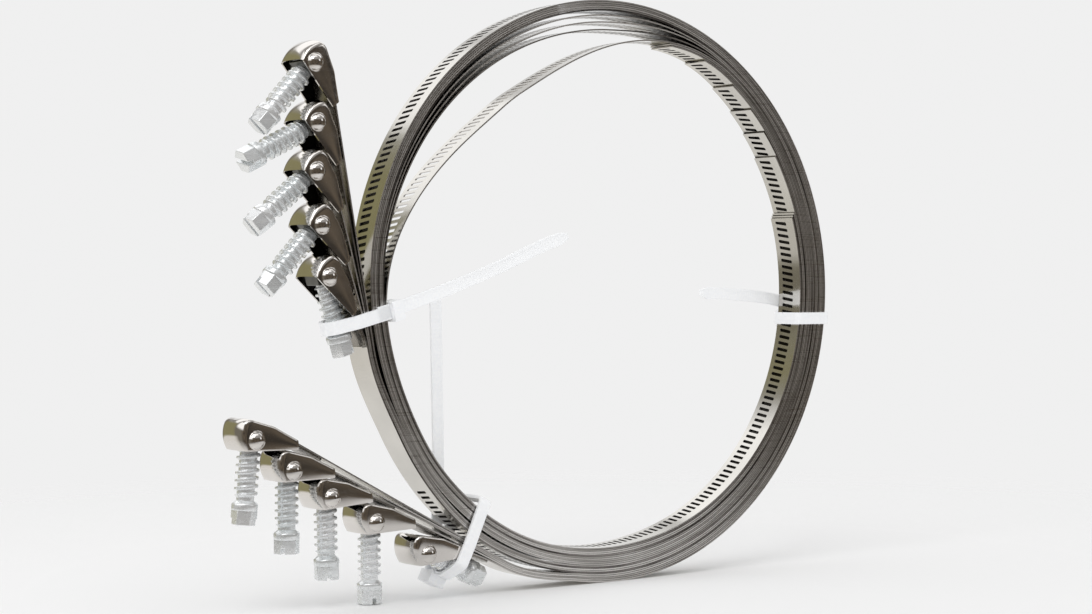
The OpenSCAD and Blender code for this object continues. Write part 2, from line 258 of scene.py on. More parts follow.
plain = add(sky, "ShaderNodeBackground", {"Color": BACKGROUND}).outputs[0]
studio = add(sky, "ShaderNodeBackground", {"Color": around}).outputs[0]
choose = add(sky, "ShaderNodeMixShader", {0: ray, 1: plain, 2: studio})
add(sky, "ShaderNodeOutputWorld", {0: choose.outputs[0]})

# %% [markdown]
# ## The lamp
# The world lights the bundle almost alone. One weak lamp from the upper left gives the paper a
# soft contact shadow.

# %% Lamp
LAMP_AT, LAMP_TARGET = Vector((-900, -500, 1300)), Vector((0, 0, 100))
lamp = place("key", bpy.data.lights.new("key", "AREA"))
lamp.location = LAMP_AT * MM
lamp.rotation_euler = (LAMP_TARGET - LAMP_AT).to_track_quat("-Z", "Y").to_euler()
lamp.data.size = 0.9
lamp.data.energy = 5

# %% [markdown]
# ## The floor
# A flat white sheet lies under the bundle. It is about as bright as the background and fades
# into it all round, so it shows only where the bundle shades it and where the steel mirrors it.

# %% Floor
PAPER = (0.92, 0.92, 0.92)
FLOOR_HALF = 3.0
# Distances from the middle, in metres, over which the paper fades to the eye and in the steel
SEEN_FADE, MIRRORED_FADE = (0.22, 0.5), (0.16, 0.32)
# The share of the near paper that the steel never shows
MIRRORED_LEAST = 0.3


def paper():
    """White paper that thins out to nothing away from the bundle, so it has no far edge."""
    material, tree, shader = principled("paper", Base_Color=PAPER, Roughness=0.9, Specular_IOR_Level=0.1)
    where = coordinate(tree, "Object")
    far = add(tree, "ShaderNodeVectorMath", {0: where}, operation="LENGTH").outputs["Value"]
    seen = map_range(tree, far, *SEEN_FADE, 0, 1)
    mirrored = map_range(tree, far, *MIRRORED_FADE, MIRRORED_LEAST, 1)
    glossy = add(tree, "ShaderNodeLightPath").outputs["Is Glossy Ray"]
    either = math(tree, "MAXIMUM", seen, math(tree, "MULTIPLY", glossy, mirrored))
    clear = add(tree, "ShaderNodeBsdfTransparent").outputs[0]
    fade = add(tree, "ShaderNodeMixShader", {0: either, 1: shader.outputs[0], 2: clear})
    feed(tree, tree.nodes["Material Output"].inputs["Surface"], fade.outputs[0])
    return material


floor_corners = [(FLOOR_HALF * x, FLOOR_HALF * y, 0) for x, y in ((-1, -1), (1, -1), (1, 1), (-1, 1))]
floor_mesh = bpy.data.meshes.new("floor")
floor_mesh.from_pydata(floor_corners, [], [(0, 1, 2, 3)])
floor = place("floor", floor_mesh)
floor.data.materials.append(paper())

# %% [markdown]
# ## Mesh helpers
# A surface here is a grid of points. `slab` gives a grid a thickness and closes it, `lathe`
# turns a profile round an axis, and `build` puts everything that belongs to one object into
# one mesh, with a UV map and a material number for each face.

# %% Meshes
def grid_faces(rows, columns, wrap=False):
    """Quads of a grid of points stored row by row; wrap joins the last column to the first."""
    i, j = np.meshgrid(np.arange(rows - 1), np.arange(columns if wrap else columns - 1), indexing="ij")
    k = (j + 1) % columns
    this, below_it = i * columns, (i + 1) * columns
    return np.stack([this + j, below_it + j, below_it + k, this + k], -1).reshape(-1, 4)


class Shell:
    """Collects points, faces, UVs for each point and a material number for each face."""

    def __init__(self):
        self.points, self.faces, self.uvs, self.slots = [], [], [], []
        self.count = 0

    def add(self, points, faces, uv=None):
        """Adds points and the faces between them, one block or a list of blocks."""
        points = np.asarray(points, float).reshape(-1, 3)
        uv = np.zeros((len(points), 2)) if uv is None else np.asarray(uv, float).reshape(-1, 2)
        self.points.append(points)
        self.uvs.append(uv)
        for block in faces if isinstance(faces, list) else [faces]:
            self.more(np.asarray(block) + self.count)
        self.count += len(points)
        return self

    def more(self, block, slot=0):
        """Adds a block of faces between points that are numbered from the shell's first."""
        self.faces.append(block)
        self.slots.append(np.full(len(block), slot))


def build(name, shell, materials, sharp=0, layer_shade=None, weld=0.002):
    """Makes an object from a Shell, in metres, smooth but at edges sharper than sharp degrees.

    Points closer than weld in millimetres become one, and every face is turned outwards.
    """
    points, uvs = np.concatenate(shell.points) * MM, np.concatenate(shell.uvs)
    used = np.zeros(len(points), bool)
    for block in shell.faces:
        used[block.ravel()] = True
    index = np.cumsum(used) - 1
    faces = [index[block] for block in shell.faces]
    corners = np.concatenate([block.ravel() for block in faces])
    mesh = bpy.data.meshes.new(name)
    mesh.from_pydata(points[used], [], [face for block in faces for face in block.tolist()], shade_flat=False)
    mesh.polygons.foreach_set("material_index", np.concatenate(shell.slots).astype(np.int32))
    mesh.uv_layers.new(name="flow").data.foreach_set("uv", uvs[used][corners].ravel())
    # The painted shade between a band's layers goes into a point attribute that its material reads
    if layer_shade is not None:
        mesh.attributes.new("layer_shade", "FLOAT", "POINT").data.foreach_set("value", layer_shade[used])
    mesh.validate()
    if sharp:
        mesh.set_sharp_from_angle(angle=np.radians(sharp))
    for material in materials:
        mesh.materials.append(material)
    work = bmesh.new()
    work.from_mesh(mesh)
    bmesh.ops.remove_doubles(work, verts=work.verts, dist=weld * MM)
    bmesh.ops.dissolve_degenerate(work, edges=work.edges, dist=weld * MM)
    bmesh.ops.recalc_face_normals(work, faces=work.faces)
    work.to_mesh(mesh)
    work.free()
    return place(name, mesh)


def border(rows, columns):
    """Numbers of the points round a grid, in order."""
    total = rows * columns
    return np.concatenate([np.arange(columns), columns - 1 + columns * np.arange(1, rows),
                           total - 2 - np.arange(columns - 1), columns * np.arange(rows - 2, 0, -1)])


def wall(loops, total):
    """Quads from closed loops of points to their copies, which are numbered total higher."""
    after = np.roll(loops, -1, axis=-1)
    return np.stack([loops, after, after + total, loops + total], -1).reshape(-1, 4)


def slab(shell, grid, offset):
    """Closes a grid of points into a plate: the grid, the grid plus offset, and a rim."""
    rows, columns = grid.shape[:2]
    points = np.concatenate([grid.reshape(-1, 3), (grid + offset).reshape(-1, 3)])
    faces, total = grid_faces(rows, columns), rows * columns
    return shell.add(points, [faces[:, ::-1], faces + total, wall(border(rows, columns), total)])


def revolve(shell, radius, height, origin, axis, across, steps):
    """Surface round an axis: rows at the heights, each of one radius or of one for each step."""
    turn = np.linspace(0, 2 * np.pi, steps, endpoint=False)[:, None]
    ring = np.cos(turn) * across + np.sin(turn) * np.cross(axis, across)
    points = origin + height[:, None, None] * axis + radius[..., None] * ring
    return shell.add(points, grid_faces(len(height), steps, wrap=True)[:, ::-1])


def lathe(shell, profile, origin, axis, across, steps=48):
    """Turns (radius, height) points round an axis; a zero radius at an end closes it."""
    profile = np.asarray(profile, float)
    return revolve(shell, profile[:, :1], profile[:, 1], origin, axis, across, steps)


def modifier(made, name, kind, **settings):
    """Adds a modifier with its settings."""
    added = made.modifiers.new(name, kind)
    for key, value in settings.items():
        setattr(added, key, value)


def rounded(made, width, segments, angle):
    """Rounds a piece's sharp edges and keeps its flat faces flat in the light."""
    modifier(made, "edges", "BEVEL", width=width * MM, segments=segments, limit_method="ANGLE",
             angle_limit=np.radians(angle))
    modifier(made, "flat", "WEIGHTED_NORMAL", keep_sharp=True)
    return made


def finished(made, node, body):
    """Lets a piece stand for its CAD node and move with its body."""
    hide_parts(node)
    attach(made, body)


# %% [markdown]
# ## Metal
# Cold-rolled strip has fine grain along its length, faint stains and a soft sheen. The grain
# follows the band round the coil, so it reads the band's own UV map: u runs along the band in
# metres and v across it. Pressed and plated pieces are smoother and read Object coordinates.

# %% Shared effects
GRAIN_STRETCH, CLOUD_SCALE = 0.012, 60
# Where a noise's useful range lies, and the painted shade that steel takes where other layers lie close over
# it
NOISE_LOW, NOISE_HIGH = 0.3, 0.7
LAYER_SHADE_TONE = (0.02, 0.018, 0.016)


def grain_group():
    """Grain along u: a noise stretched about eighty times, as a mask from 0 to 1, and clouds."""
    group = bpy.data.node_groups.new("rolled_grain", "ShaderNodeTree")
    for name, way, kind in (("Vector", "INPUT", "Vector"), ("Fineness", "INPUT", "Float"),
                            ("Grain", "OUTPUT", "Float"), ("Cloud", "OUTPUT", "Float")):
        group.interface.new_socket(name, in_out=way, socket_type="NodeSocket" + kind)
    inside = add(group, "NodeGroupInput").outputs
    stretch = (GRAIN_STRETCH, 1, 1)
    flow = add(group, "ShaderNodeVectorMath", {0: inside["Vector"], 1: stretch}, operation="MULTIPLY")
    grain = noise(group, flow.outputs[0], inside["Fineness"], 4)
    cloud = noise(group, inside["Vector"], CLOUD_SCALE, 3)
    add(group, "NodeGroupOutput", {"Grain": grain, "Cloud": cloud})
    return group


GRAIN = grain_group()


def metal(name, colour, roughness, grain, fine, depth, tint=None, metallic=1, along=False):
    """Bare or plated metal with grain in its roughness and bump, and clouds in its colour.

    A metal that runs along a band reads the band's UV map, and has shade painted into its colour where other
    layers lie close to it.
    """
    material, tree, shader = principled(name, Metallic=metallic)
    where = coordinate(tree, "UV" if along else "Object")
    effect = add(tree, "ShaderNodeGroup", {"Vector": where, "Fineness": fine}, node_tree=GRAIN)
    grained, clouded = effect.outputs
    rough = map_range(tree, grained, NOISE_LOW, NOISE_HIGH, roughness - grain, roughness + grain)
    feed(tree, shader.inputs["Roughness"], rough)
    cloud = map_range(tree, clouded, NOISE_LOW, NOISE_HIGH, 0, 1)
    tone = mixed(tree, cloud, colour, tint or tuple(0.9 * c for c in colour))
    if along:
        # Painted shade: the band darkens where other layers lie close to its face
        layer_shade = add(tree, "ShaderNodeAttribute", attribute_name="layer_shade").outputs["Fac"]
        tone = mixed(tree, layer_shade, tone, LAYER_SHADE_TONE)
    feed(tree, shader.inputs["Base Color"], tone)
    bumped(tree, shader, grained, depth)
    return material


# Painted tones of the slit edges, from painted shade between layers to painted highlights on the edges
EDGE_SHADE_TO_HIGHLIGHT = [(0.40, (0.10, 0.09, 0.085)), (0.62, (0.42, 0.40, 0.38)), (0.95, (0.88, 0.86, 0.84))]
# How fast an edge's tone drifts along a band, how far bands lie apart in it, and their own share
EDGE_DRIFT, EDGE_APART, EDGE_OWN = 22, 7.3, 0.45


def strip_edge():
    """Slit edges: each band gets its own painted tone between shade and highlight, which drifts along it, so
    a stack shows as dark and bright lines.
    """
    material = metal("band_edge", (0.62, 0.60, 0.58), 0.34, grain=0.1, fine=5000, depth=0.01)
    tree = material.node_tree
    shader = tree.nodes["Principled BSDF"]
    along, across, _ = add(tree, "ShaderNodeSeparateXYZ", {0: coordinate(tree, "UV")}).outputs
    number = math(tree, "ROUND", across)
    own = add(tree, "ShaderNodeTexWhiteNoise", {"W": number}, noise_dimensions="1D")
    at = {0: math(tree, "MULTIPLY", along, EDGE_DRIFT), 1: math(tree, "MULTIPLY", number, EDGE_APART)}
    drift = noise(tree, add(tree, "ShaderNodeCombineXYZ", at).outputs[0], 1, 3)
    level = math(tree, "ADD", math(tree, "MULTIPLY", own.outputs["Value"], EDGE_OWN), drift)
    feed(tree, shader.inputs["Base Color"], ramp(tree, level, EDGE_SHADE_TO_HIGHLIGHT))
    return material


BAND_FACE = metal("band_face", (0.70, 0.68, 0.64), 0.13, grain=0.05, fine=9000, depth=0.0015, along=True)
BAND_EDGE = strip_edge()
HOUSING = metal("housing_polish", (0.80, 0.77, 0.74), 0.09, grain=0.04, fine=500, depth=0.001)
# The housing's inner side is painted near black: painted shade inside the housing
HOUSING_SHADE = metal("housing_inside_shade", (0.035, 0.032, 0.028), 0.45, grain=0.05, fine=900, depth=0.004)
SADDLE = metal("saddle_strip", (0.34, 0.32, 0.29), 0.25, grain=0.06, fine=1200, depth=0.004)
SWIVEL = metal("swivel_block", (0.16, 0.16, 0.15), 0.35, grain=0.08, fine=900, depth=0.01)
ZINC = metal("screw_zinc", (0.93, 0.94, 0.95), 0.24, grain=0.12, fine=900, depth=0.012,
             tint=(0.80, 0.83, 0.84), metallic=0.62)


def nylon():
    """Natural nylon: pale, a little translucent, with a fine moulded texture."""
    material, tree, shader = principled("tie_nylon", IOR=1.3, Subsurface_Weight=0.3,
                                        Subsurface_Radius=(1, 1, 1), Subsurface_Scale=0.002)
    texture = noise(tree, coordinate(tree, "Object"), 900, 3)
    tone = map_range(tree, texture, 0.35, 0.65, 0, 1)
    rough = map_range(tree, texture, NOISE_LOW, NOISE_HIGH, 0.45, 0.6)
    feed(tree, shader.inputs["Base Color"], mixed(tree, tone, (0.94, 0.955, 0.98), (0.98, 0.99, 1.0)))
    feed(tree, shader.inputs["Roughness"], rough)
    bumped(tree, shader, texture, 0.002)
    return material


NYLON = nylon()

# %% [markdown]
# ## Where the bands run
# Angles are measured round the coil's axis from +X over the top. A band leaves its housing on
# a lead, meets the coil at its group's exit angle, and winds on inwards for a turn and a half.
# Each radius is worked out from the layer's place, with eased steps where layers cross.

# %% The coil's dimensions
BAND_W, BAND_T = 12.7, 0.54
COIL_R = 111.6
PITCH_WIDE, PITCH_TIGHT = 0.72, 0.6
SPRING_IN = 18.4
CHORD_LOSS = COIL_R * (1 - np.cos(np.radians(1.5)))
AXIS_Z = COIL_R - CHORD_LOSS
EXIT = {0: 190.3, 1: 242.5}
RISE = {0: 2.4, 1: 3.6}
LANDED = {0: 208, 1: 262}
GROUP = 5
BAND_IN = 12.4
# Each clamp's group (0 upper, 1 lower), depth in it, reach, lift and tilt of its lead, its
# screw's opening angle, its band's end angle, and how far its screw is turned
CLAMPS = {
    "u1": (0, 4, 86.3, 0.0, 0.0, 52.5, 377.8, 0),
    "u2": (0, 3, 65.9, 1.7, 1.5, 75.4, 378.3, 75),
    "u3": (0, 2, 49.8, 3.2, 6.0, 67.0, 378.8, 8),
    "u4": (0, 1, 31.3, 3.2, 8.5, 62.0, 393.1, -4),
    "u5": (0, 0, 13.1, 2.8, 9.0, 2.0, 399.7, 60),
    "l1": (1, 4, 99.9, -1.2, -0.8, 66.7, 406.2, 30),
    "l2": (1, 3, 82.0, 0.7, 1.5, 64.2, 413.6, -40),
    "l3": (1, 2, 63.9, 1.27, 4.5, 65.5, 423.3, -72),
    "l4": (1, 1, 42.8, 1.6, 2.5, 64.5, 433.4, -84),
    "l5": (1, 0, 17.6, 1.2, 5.5, 2.5, 433.8, 10)}


def ease(a, b, x):
    """Eased step from 0 at a to 1 at b: 3t^2 - 2t^3."""
    t = np.clip((np.asarray(x, float) - a) / (b - a), 0, 1)
    return t * t * (3 - 2 * t)


def pitch(t):
    """Spacing of the layers at angle t."""
    return PITCH_WIDE - (PITCH_WIDE - PITCH_TIGHT) * ease(150, 200, t) * (1 - ease(245, 285, t))


# For each depth: how far its free end springs in, and the angles where it leaves and comes back
SPRUNG = {4: (SPRING_IN, 56, 120, 128, 187), 3: (5.3, 58, 92, 95, 180),
          2: (3.1, 62, 92, 105, 176), 1: (1.2, 62, 92, 110, 170)}


def spring(depth, t):
    """How far a layer of the upper group springs in at the upper left."""
    if depth not in SPRUNG:
        return 0 * t
    size, a, b, c, d = SPRUNG[depth]
    return size * ease(a, b, t) * (1 - ease(c, d, t))


def band_r(group, depth, phi):
    """Radius of a band's outer face at its travelled angle phi."""
    crossed = ease(526, 570, phi) + ease(588, 624, phi) + (group == 0) * ease(228, 264, phi)
    rise = RISE[group] * (1 - ease(EXIT[group], LANDED[group], phi))
    slack = 0.8 * ease(575, 592, phi) * (1 - ease(594, 625, phi))
    sprung = (group == 0) * (phi < 560) * spring(depth, phi - 360) + (phi > 720) * spring(4, phi - 720)
    return COIL_R + rise - (depth + GROUP * crossed) * pitch(np.mod(phi, 360)) - sprung - slack


# %% [markdown]
# ## The leads
# From its landing on the coil a band runs off on its lead, a gentle cubic, to its seat in the
# housing. Points here are pairs: x and z in the coil's plane.

# %% Leads and seats
def turned(degrees):
    """Unit vectors in the coil's plane at those angles."""
    a = np.radians(degrees)
    return np.stack([np.cos(a), np.sin(a)], -1)


Y_AXIS = np.array([0, 1.0, 0])


def space(pair):
    """A pair in the coil's plane, as a vector in space."""
    return np.array([pair[0], 0.0, pair[1]])


def line_of(name):
    """Landing point, direction away from the coil and outward direction of a clamp's lead."""
    group, depth = CLAMPS[name][:2]
    outward = turned(EXIT[group])
    away = np.array([outward[1], -outward[0]])
    landing = np.array([0, AXIS_Z]) + band_r(group, depth, EXIT[group]) * outward
    return landing, away, outward


def lead(name, s):
    """Points and normals of a lead at distances s: a cubic that ends at its lift and tilt."""
    reach, lift, tilt = CLAMPS[name][2:5]
    landing, away, outward = line_of(name)
    t, m = s / reach, np.tan(np.radians(tilt)) * reach
    height = lift * t * t * (3 - 2 * t) + m * t * t * (t - 1) - CHORD_LOSS * (1 - t)
    slope = (lift * 6 * t * (1 - t) + m * t * (3 * t - 2)) / reach
    point = landing + s[:, None] * away + height[:, None] * outward
    normal = outward - slope[:, None] * away
    return point, normal / np.linalg.norm(normal, axis=1, keepdims=True)


def seat(name):
    """Origin, direction along the band and outward direction of a clamp's housing."""
    group, depth, reach, lift, tilt = CLAMPS[name][:5]
    landing, away, outward = line_of(name)
    angle = EXIT[group] - 90 + tilt
    return landing + reach * away + lift * outward, turned(angle), turned(angle + 90)


def band_path(name):
    """Points, normals and lengths along a band's outer face, from its housing to its free end."""
    group, depth, reach = CLAMPS[name][:3]
    origin, along, normal = seat(name)
    inside = np.linspace(BAND_IN, 1, 8)[:, None]
    straight = origin + inside * along
    s = np.linspace(reach, 0, max(8, int(reach / 1.5)), endpoint=False)
    lead_points, lead_normals = lead(name, s)
    phi = np.arange(EXIT[group], CLAMPS[name][6] + 360, 0.7)
    phi = np.append(phi, CLAMPS[name][6] + 360)
    radius = band_r(group, depth, phi) - CHORD_LOSS
    radial = turned(phi)
    coil = np.array([0, AXIS_Z]) + radius[:, None] * radial
    points = np.concatenate([straight, lead_points, coil])
    normals = np.concatenate([np.repeat(normal[None], len(inside), 0), lead_normals, radial])
    length = np.concatenate([[0], np.cumsum(np.linalg.norm(np.diff(points, axis=0), axis=1))])
    return points, normals, length


# %% [markdown]
# ## The slotted bands
# A band is a long ribbon with a slanting slot every turn of the screw's thread. The ribbon is
# a grid whose columns stand at each slot's two sides and its rounded corners, and whose rows
# stand at the slot's ends. Leaving out the slot's cells opens it, and a wall closes its sides.

# %% Bands
SLOT_LEN, SLOT_W, SLOT_PITCH = 6.2, 1.3, 2.65
SLOT_SHIFT, SLOT_SLANT = 1.0, 8
# Distance of the last slot from the free end, and length of the plain stretch at the housing
SLOT_FIRST, SLOT_PLAIN = 2.2, 84.0
CORNER = 0.32
# Gaps to the next layer at which a band's face gets full painted shade and none
LAYER_SHADE_GAP = (1.5, 3.5)


def path_angle(name, points, length, at):
    """Travelled angle at lengths along a band, 0 on its lead."""
    angle = np.degrees(np.unwrap(np.arctan2(points[:, 1] - AXIS_Z, points[:, 0])))
    angle = angle - angle[-1] + CLAMPS[name][6] + 360
    return np.where(at > BAND_IN + CLAMPS[name][2], np.interp(at, length, angle), 0)


def shade_from_layers(name, phi):
    """How closely layers lie outside and inside a band at its travelled angles, 1 touching: the mask of the
    painted shade between layers.
    """
    radii = []
    for group, depth, *_, end, _ in CLAMPS.values():
        for wrap in (0, 360, 720):
            angle = np.mod(phi, 360) + wrap
            there = (angle >= EXIT[group]) & (angle <= end + 360)
            radii.append(np.where(there, band_r(group, depth, angle), np.nan))
    gap = np.array(radii) - band_r(*CLAMPS[name][:2], phi)
    outside = np.nanmin(np.where(gap > 0.1, gap, 99.0), axis=0)
    inside = np.nanmin(np.where(gap < -0.1, -gap, 99.0), axis=0)
    on_coil = phi >= EXIT[CLAMPS[name][0]]
    return [on_coil * (1 - ease(*LAYER_SHADE_GAP, least)) for least in (outside, inside)]


def band(name):
    """Ribbon of points P(s) - depth N(s) + y Y, sheared by the slots' slant, with its slots left out."""
    points, normals, length = band_path(name)
    total = length[-1]
    slots = np.arange(total - SLOT_FIRST, SLOT_PLAIN, -SLOT_PITCH)[::-1]
    half = SLOT_W / 2
    columns = (slots[:, None] + np.array([-half, CORNER - half, half - CORNER, half])).ravel()
    before = np.linspace(0, columns[0] - 1.2, 45)
    after = np.linspace(columns[-1] + 0.5, total, 3)
    s = np.concatenate([before, columns, after])
    first = len(before)
    y_low, y_high = SLOT_SHIFT - SLOT_LEN / 2, SLOT_SHIFT + SLOT_LEN / 2
    y = np.array([-BAND_W / 2, y_low, y_low + CORNER, y_high - CORNER, y_high, BAND_W / 2])
    shear = np.tan(np.radians(SLOT_SLANT)) * (np.clip(y, y_low, y_high) - SLOT_SHIFT)
    fade = np.clip(np.minimum(s, total - s) / 3, 0, 1)
    at = s[:, None] + shear * fade[:, None]
    spine = [np.interp(at, length, points[:, k]) for k in (0, 1)]
    normal = [np.interp(at, length, normals[:, k]) for k in (0, 1)]
    # How much shade is painted on each point, from the layers next to it
    layer_shade = shade_from_layers(name, path_angle(name, points, length, at))
    wide = np.broadcast_to(y, at.shape)
    sides = [np.stack([spine[0] - depth * normal[0], wide, spine[1] - depth * normal[1]], -1).reshape(-1, 3)
             for depth in (0, BAND_T)]
    rows, across = at.shape
    count = rows * across
    cells = grid_faces(rows, across)
    i, j = np.divmod(np.arange(len(cells)), across - 1)
    k = (i - first) % 4
    slotted = (i >= first) & (i < first + len(columns)) & (k < 3)
    hole = slotted & ((j == 2) | ((k == 1) & (j > 0) & (j < 4)))
    corner = slotted & ~hole & ((j == 1) | (j == 3))
    kept = cells[~(hole | corner)]
    cut = [(1, 0, [0, 1, 3]), (1, 2, [0, 1, 2]), (3, 0, [0, 2, 3]), (3, 2, [1, 2, 3])]
    chamfers = np.concatenate([cells[corner & (j == row) & (k == side)][:, kept_corners]
                               for row, side, kept_corners in cut])
    shell = Shell()
    uv = np.stack([at * MM, wide * MM + NAMES.index(name)], -1).reshape(-1, 2)
    faces = [kept, chamfers, kept[:, ::-1] + count, chamfers[:, ::-1] + count]
    shell.add(np.concatenate(sides), faces, np.concatenate([uv, uv]))
    start = first + 4 * np.arange(len(slots))
    outline = [(0, 2), (0, 3), (1, 4), (2, 4), (3, 3), (3, 2), (2, 1), (1, 1)]
    ring = np.stack([(start + column) * across + row for column, row in outline], -1)
    for loops in (ring, border(rows, across)):
        shell.more(wall(loops, count), 1)
    layer_shade = np.concatenate([side.ravel() for side in layer_shade])
    print(name, "band", round(float(total)), "mm long, with", len(slots), "slots")
    return build("band_" + name, shell, [BAND_FACE, BAND_EDGE], 35, layer_shade)


for name in NAMES:
    finished(band(name), "band_" + name, "coil")

# %% [markdown]
# ## The housings
# A housing is pressed from one sheet: two cheeks, a floor under the band and a rounded crown.
# Looked at into its mouth it is a long U, so its wall is that U carried down from the mouth to
# the floor, with a round fold, and the floor closes in to the middle line.

# %% Housing dimensions
HOOD_W, HOOD_T = 15.5, 0.8
DOME_D, DOME_H, DOME_SOFT = 6.4, 2.2, 0.07
PIVOT = np.array([16.5, 6.0])
MOUTH = np.array([0.2, 1.7])
MOUTH_DIR = turned(27.6)
MOUTH_UP = turned(117.6)
CHEEK_LEN, CROWN_LEN = 18.8, 4.1
# Middle and radius of the crown's round side, as distance along the mouth and depth below it
CROWN_AT, CROWN_R = (13.6, 6.25), 9.3
# Where a cheek ends along the mouth, at the depth where it ends last, and how it draws back
CHEEK_END, CHEEK_AT, CHEEK_ARC = 20.1, 4.3, 0.04
# Exponent of the crown's plan: 2 is an ellipse, more is squarer
CROWN_FULL = 2.7
# How far a cheek bows outwards between its mouth and its fold
BOW = 0.11
# Outer radius of the fold between wall and floor, at the cheeks and at the middle of the crown
FOLD, CROWN_FOLD = 0.8, 2.6
# Depth of the floor below the mouth, at distances along the mouth
FLOOR_AT = np.array([-0.68, 9.51, 18.77, 22.87])
FLOOR_DEPTH = np.array([3.03, 8.35, 10.71, 11.5])
# Half the length over which the heel between the floor's slopes is rounded off
HEEL = 0.8
# Depth whose plan sets which way the fold and the floor lead inwards
PLAN_DEPTH = 7.5


def floor_depth(x):
    """Depth of the floor: its slopes run on past their ends, and a running mean rounds its heels."""
    spread = x[..., None] + np.linspace(-HEEL, HEEL, 9)
    slope = np.diff(FLOOR_DEPTH) / np.diff(FLOOR_AT)
    before = FLOOR_DEPTH[0] + (spread - FLOOR_AT[0]) * slope[0]
    after = FLOOR_DEPTH[-1] + (spread - FLOOR_AT[-1]) * slope[-1]
    depth = np.interp(spread, FLOOR_AT, FLOOR_DEPTH)
    depth = np.where(spread < FLOOR_AT[0], before, np.where(spread > FLOOR_AT[-1], after, depth))
    return depth.mean(-1)


def housing_frame(name):
    """Origin and axes of a housing in space: along the band, across it and outward."""
    origin, along, normal = seat(name)
    return space(origin), space(along), Y_AXIS, space(normal)


def pivot_of(name):
    """Middle of a housing's two pivot holes, in space."""
    origin, along, _, outward = housing_frame(name)
    return origin + PIVOT[0] * along + PIVOT[1] * outward


def placed(name, *coordinates):
    """Points given in a housing's frame, in space."""
    origin, *axes = housing_frame(name)
    return origin + sum(x[..., None] * axis for x, axis in zip(coordinates, axes))


def wall_plan(part, depth):
    """Plan of the wall at a depth: part runs 0 to 1 along a cheek, to 2 over the crown, to 3 back.

    A cheek ends on an arc. The crown is half a superellipse between the cheeks' ends, and
    reaches as far as its round side does at that depth.
    """
    ends = CHEEK_END - CHEEK_ARC * (depth - CHEEK_AT) ** 2
    reach = CROWN_AT[0] + np.sqrt(CROWN_R ** 2 - (depth - CROWN_AT[1]) ** 2)
    turn = (np.clip(part - 1, 0, 1) - 0.5) * np.pi
    power = 2 / CROWN_FULL
    along = np.minimum(np.minimum(part, 3 - part), 1)
    x = ends * along + (reach - ends) * np.maximum(np.cos(turn), 0) ** power
    return x, HOOD_W / 2 * np.sign(turn) * np.abs(np.sin(turn)) ** power


def hood_surface(name):
    """Outer face of a housing: columns run round the U of its plan, rows down the wall and floor."""
    cheek = [*np.linspace(0, 0.95, 24), 0.975, 0.99]
    crown = [0.004, 0.015, 0.035, 0.065, 0.1, 0.14, *np.linspace(0.185, 0.45, 10)]
    half = np.concatenate([cheek, 1 + np.array(crown)])
    part = np.concatenate([half, [1.475, 1.492, 1.508, 1.525], 3 - half[::-1]])
    x_plan, y_plan = wall_plan(part, np.full_like(part, PLAN_DEPTH))
    bowed = np.clip(y_plan / HOOD_W * 2, -1, 1) * BOW
    x_mid = np.minimum(x_plan, CHEEK_LEN)
    inward = np.stack([x_mid - x_plan, -y_plan], -1)
    reach = np.linalg.norm(inward, axis=1)
    inward = inward / reach[:, None]
    share = np.clip((x_plan - CHEEK_LEN) / CROWN_LEN, 0, 1)
    fold_r = FOLD + (np.minimum(CROWN_FOLD, 0.9 * reach) - FOLD) * share
    rows = []

    def row(moved, bend, depth):
        x, y = wall_plan(part, depth)
        x = x + moved * inward[:, 0]
        y = y + bend * bowed + moved * inward[:, 1]
        side = MOUTH + x[:, None] * MOUTH_DIR - depth[:, None] * MOUTH_UP
        rows.append(placed(name, side[:, 0], y, side[:, 1]))

    for share in np.linspace(0, 1, 17)[:-1]:
        row(0, 4 * share * (1 - share) - 1, share * (floor_depth(x_plan) - fold_r))
    for angle in np.radians(np.linspace(0, 90, 9)):
        moved = fold_r * (1 - np.cos(angle))
        row(moved, -1, floor_depth(x_plan + moved * inward[:, 0]) - fold_r * (1 - np.sin(angle)))
    for share in np.linspace(0, 1, 7)[1:]:
        moved = fold_r + share * (reach - fold_r)
        row(moved, -1, floor_depth(x_plan + moved * inward[:, 0]))
    return np.array(rows)


def dome_profile():
    """Cap of a sphere with a soft foot: the softened maximum of the cap and the cheek."""
    cap_r = (DOME_D ** 2 / 4 + DOME_H ** 2) / (2 * DOME_H)
    foot = DOME_D / 2 + 0.2
    r = np.concatenate([np.linspace(foot, 2.7, 9), np.linspace(2.55, 0, 14)])
    cap = np.sqrt(np.maximum(cap_r ** 2 - r ** 2, 0)) - (cap_r - DOME_H)
    slope = np.where(r < cap_r - 0.2, cap, cap - 4 * np.maximum(r - cap_r + 0.2, 0))
    h = DOME_SOFT * np.logaddexp(0, slope / DOME_SOFT)
    return np.concatenate([[[0, -0.5], [foot + 0.05, -0.5]], np.stack([r, h - 0.01], -1)])


def hood(name):
    """Housing: its outer face, given the sheet's thickness inwards, with shade painted into its inner side.
    """
    grid = hood_surface(name)
    shell = Shell().add(grid, grid_faces(*grid.shape[:2]))
    made = build("hood_" + name, shell, [HOUSING, HOUSING_SHADE], weld=0.02)
    middle = Vector(pivot_of(name)) * MM
    if sum(face.normal.dot(face.center - middle) for face in made.data.polygons) < 0:
        made.data.flip_normals()
    # The sheet's inner side takes the second material, the painted shade
    modifier(made, "sheet", "SOLIDIFY", thickness=HOOD_T * MM, offset=-1, use_even_offset=True,
             material_offset=1)
    return rounded(made, 0.16, 2, 50)


def domes(name):
    """The two domes over the pins of a housing."""
    shell = Shell()
    for side in (Y_AXIS, -Y_AXIS):
        lathe(shell, dome_profile(), pivot_of(name) + HOOD_W / 2 * side, side, housing_frame(name)[1], 56)
    return build("domes_" + name, shell, [HOUSING])


